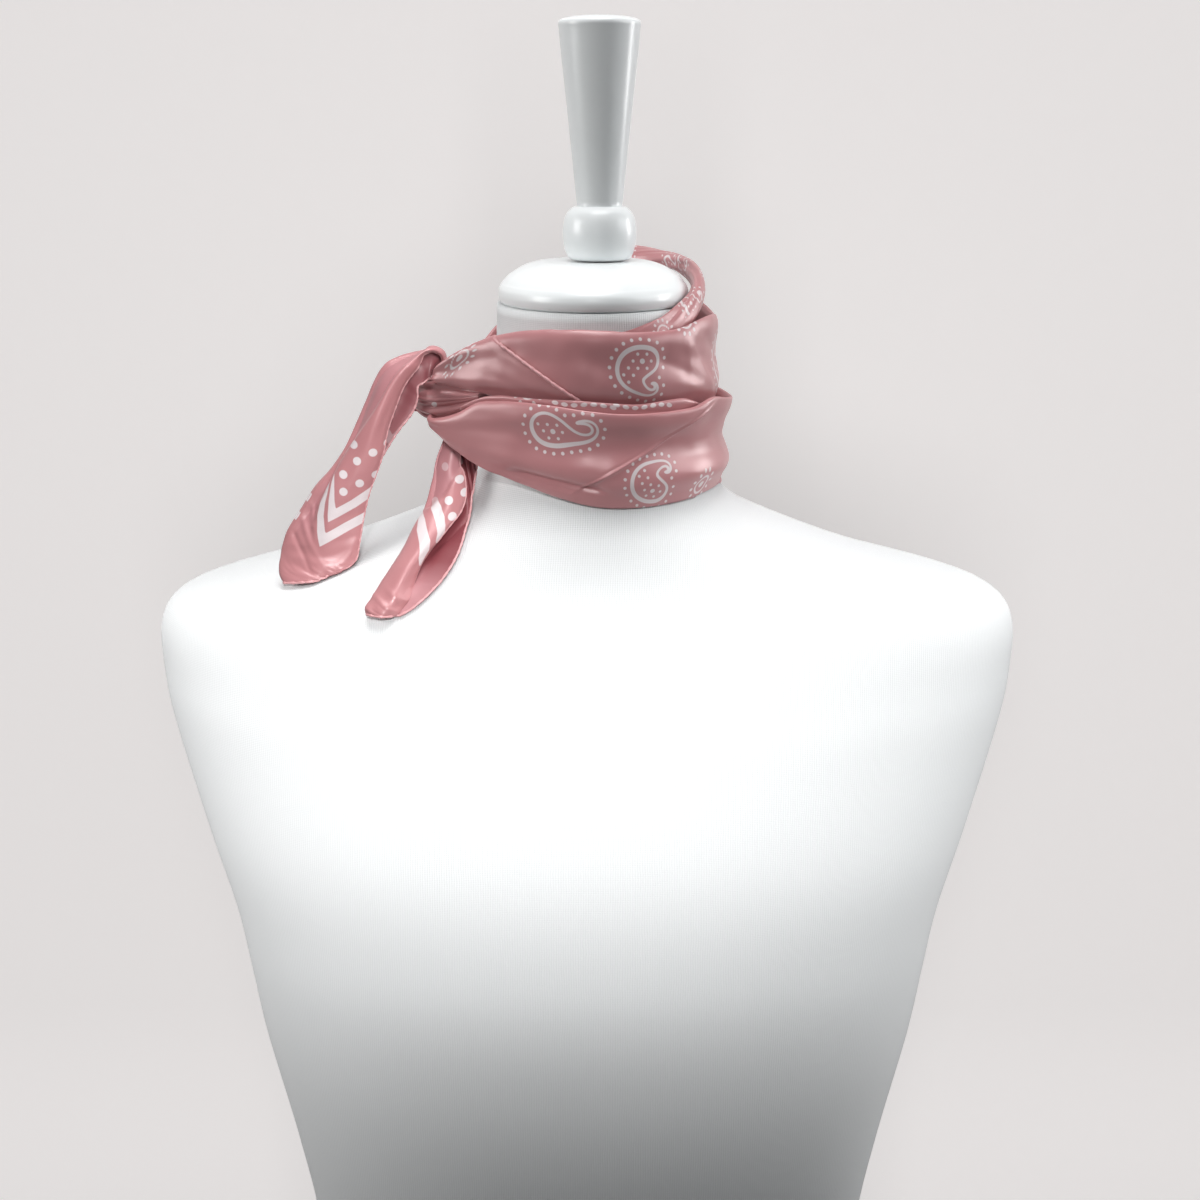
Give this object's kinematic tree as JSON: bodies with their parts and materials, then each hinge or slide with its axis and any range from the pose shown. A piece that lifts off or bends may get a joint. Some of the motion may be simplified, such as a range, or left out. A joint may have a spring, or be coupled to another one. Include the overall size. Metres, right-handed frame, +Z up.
{
  "type": "silk square scarf knotted on a neck display dress form",
  "caption": "Printed silk square folded into a band, wrapped and tied at the side of the neck of a limbless dress form with a turned cap and finial.",
  "frame": {"origin": "centre of the form's flat underside", "axes": "+Z up along the form to its finial, the chest faces -Y, the knot is on the -X side"},
  "size_m": [0.3982, 0.229, 0.8041],
  "materials": {
    "jersey": "white ribbed jersey stretched over the form",
    "painted_wood": "turned wood painted satin white",
    "silk": "dusty rose silk satin with a white paisley and dot print"
  },
  "bodies": {
    "root": {"torso": "jersey", "neck_cap": "painted_wood", "finial": "painted_wood", "upper_wrap": "silk", "middle_fold": "silk", "lower_wrap": "silk", "nape_strand": "silk", "knot_front": "silk", "knot_back": "silk", "long_end": "silk", "short_end": "silk"}
  },
  "joints": []
}
